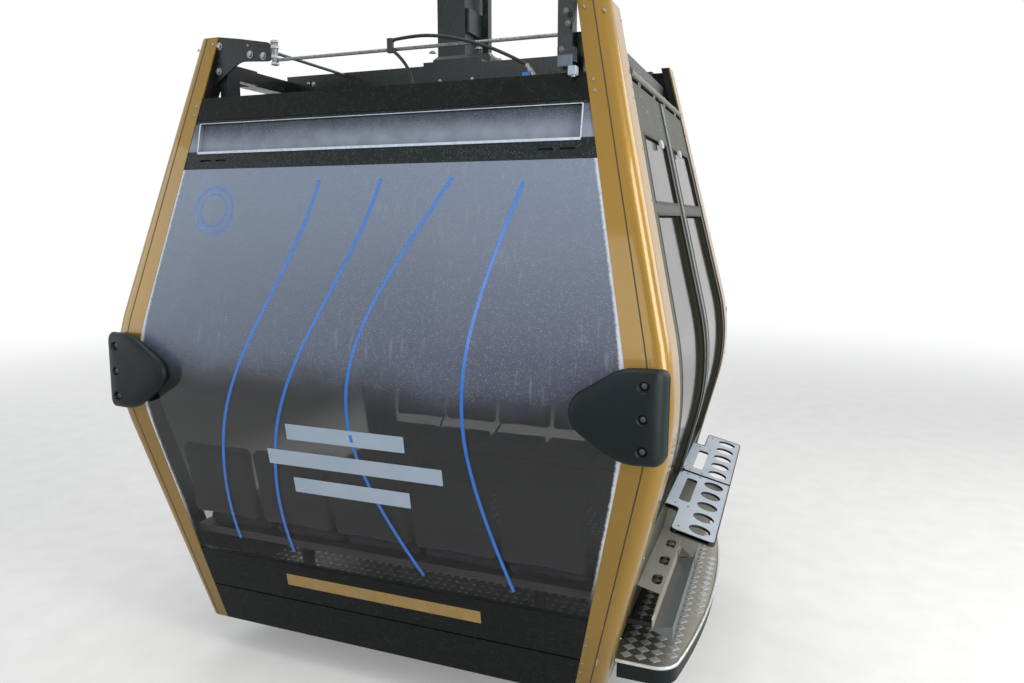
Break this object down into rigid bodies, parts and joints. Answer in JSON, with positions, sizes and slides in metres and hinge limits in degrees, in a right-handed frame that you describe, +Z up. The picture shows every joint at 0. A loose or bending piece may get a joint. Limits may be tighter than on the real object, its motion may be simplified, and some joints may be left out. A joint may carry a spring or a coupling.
{
  "type": "gondola cable car cabin with hanger and detachable rope grip",
  "caption": "Gondola cable car cabin with gold corner pillars, dark bent panes, a ski rack door side, box hanger and rope grip.",
  "frame": {"origin": "centre line of the rope at the middle of the grip jaws", "axes": "+Z up, Y along the rope, +X out of the door side"},
  "size_m": [2.3782, 2.0766, 4.576],
  "materials": {
    "gold_paint": "gloss",
    "black_paint": "gloss",
    "tinted_pane": "gloss",
    "black_rubber": "matte",
    "grey_aluminium": "matte",
    "galvanised": "matte",
    "grip_casting": "matte",
    "bench_shell": "matte",
    "bench_fabric": "matte"
  },
  "bodies": {
    "grip": {"grip_body": "grip_casting", "pin_washer": "galvanised"},
    "jaw": {"grip_jaw": "grip_casting"},
    "running_wheel_front": {"running_wheel_front": "black_rubber"},
    "running_wheel_rear": {"running_wheel_rear": "black_rubber"},
    "lever_roller": {"lever_roller": "black_rubber"},
    "cabin": {"back_header": "black_paint", "back_pads": "bench_fabric", "back_pane": "tinted_pane", "back_skirt": "black_paint", "benches": "bench_shell", "cable_fittings": "grey_aluminium", "corner_pillar_front_left": "gold_paint", "corner_pillar_front_right": "gold_paint", "corner_pillar_rear_left": "gold_paint", "corner_pillar_rear_right": "gold_paint", "door_glass": "tinted_pane", "door_hangers": "grey_aluminium", "door_header": "black_paint", "door_leaf_front": "black_paint", "door_leaf_rear": "black_paint", "door_meeting_strip": "grey_aluminium", "door_rail": "grey_aluminium", "door_sill": "black_paint", "drive_columns": "black_paint", "drive_gussets": "black_paint", "drive_rods": "galvanised", "floor_panel": "black_paint", "front_bumpers": "black_rubber", "front_header": "black_paint", "front_pane": "tinted_pane", "front_skirt": "black_paint", "hanger_arm": "black_paint", "hanger_damper": "black_paint", "hanger_foot": "black_paint", "rack_shelves": "grey_aluminium", "rack_stays": "grey_aluminium", "rear_bumpers": "black_rubber", "rear_header": "black_paint", "rear_pane": "tinted_pane", "rear_skirt": "black_paint", "roof_beams": "black_paint", "roof_cables": "black_rubber", "roof_frame": "black_paint", "roof_panel": "black_paint", "seat_pads": "bench_fabric", "ski_plates": "grey_aluminium", "ski_troughs": "grey_aluminium", "step_band": "black_rubber", "step_plate": "grey_aluminium", "vent_windows": "tinted_pane"}
  },
  "joints": [
    {"name": "cabin_swing", "type": "hinge", "parent": "grip", "child": "cabin", "pos_m": [-0.215, 0, -0.02], "axis": [1, 0, 0], "range_deg": [-20, 20]},
    {"name": "jaw_opening", "type": "hinge", "parent": "grip", "child": "jaw", "pos_m": [-0.02, 0, 0.096], "axis": [0, -1, 0], "range_deg": [0, 15]},
    {"name": "running_wheel_front_turn", "type": "hinge", "parent": "grip", "child": "running_wheel_front", "pos_m": [-0.194, -0.2, 0.025], "axis": [1, 0, 0], "continuous": true},
    {"name": "running_wheel_rear_turn", "type": "hinge", "parent": "grip", "child": "running_wheel_rear", "pos_m": [-0.194, 0.2, 0.025], "axis": [1, 0, 0], "continuous": true},
    {"name": "lever_roller_turn", "type": "hinge", "parent": "jaw", "child": "lever_roller", "pos_m": [-0.329, 0, 0.19], "axis": [1, 0, 0], "continuous": true}
  ]
}
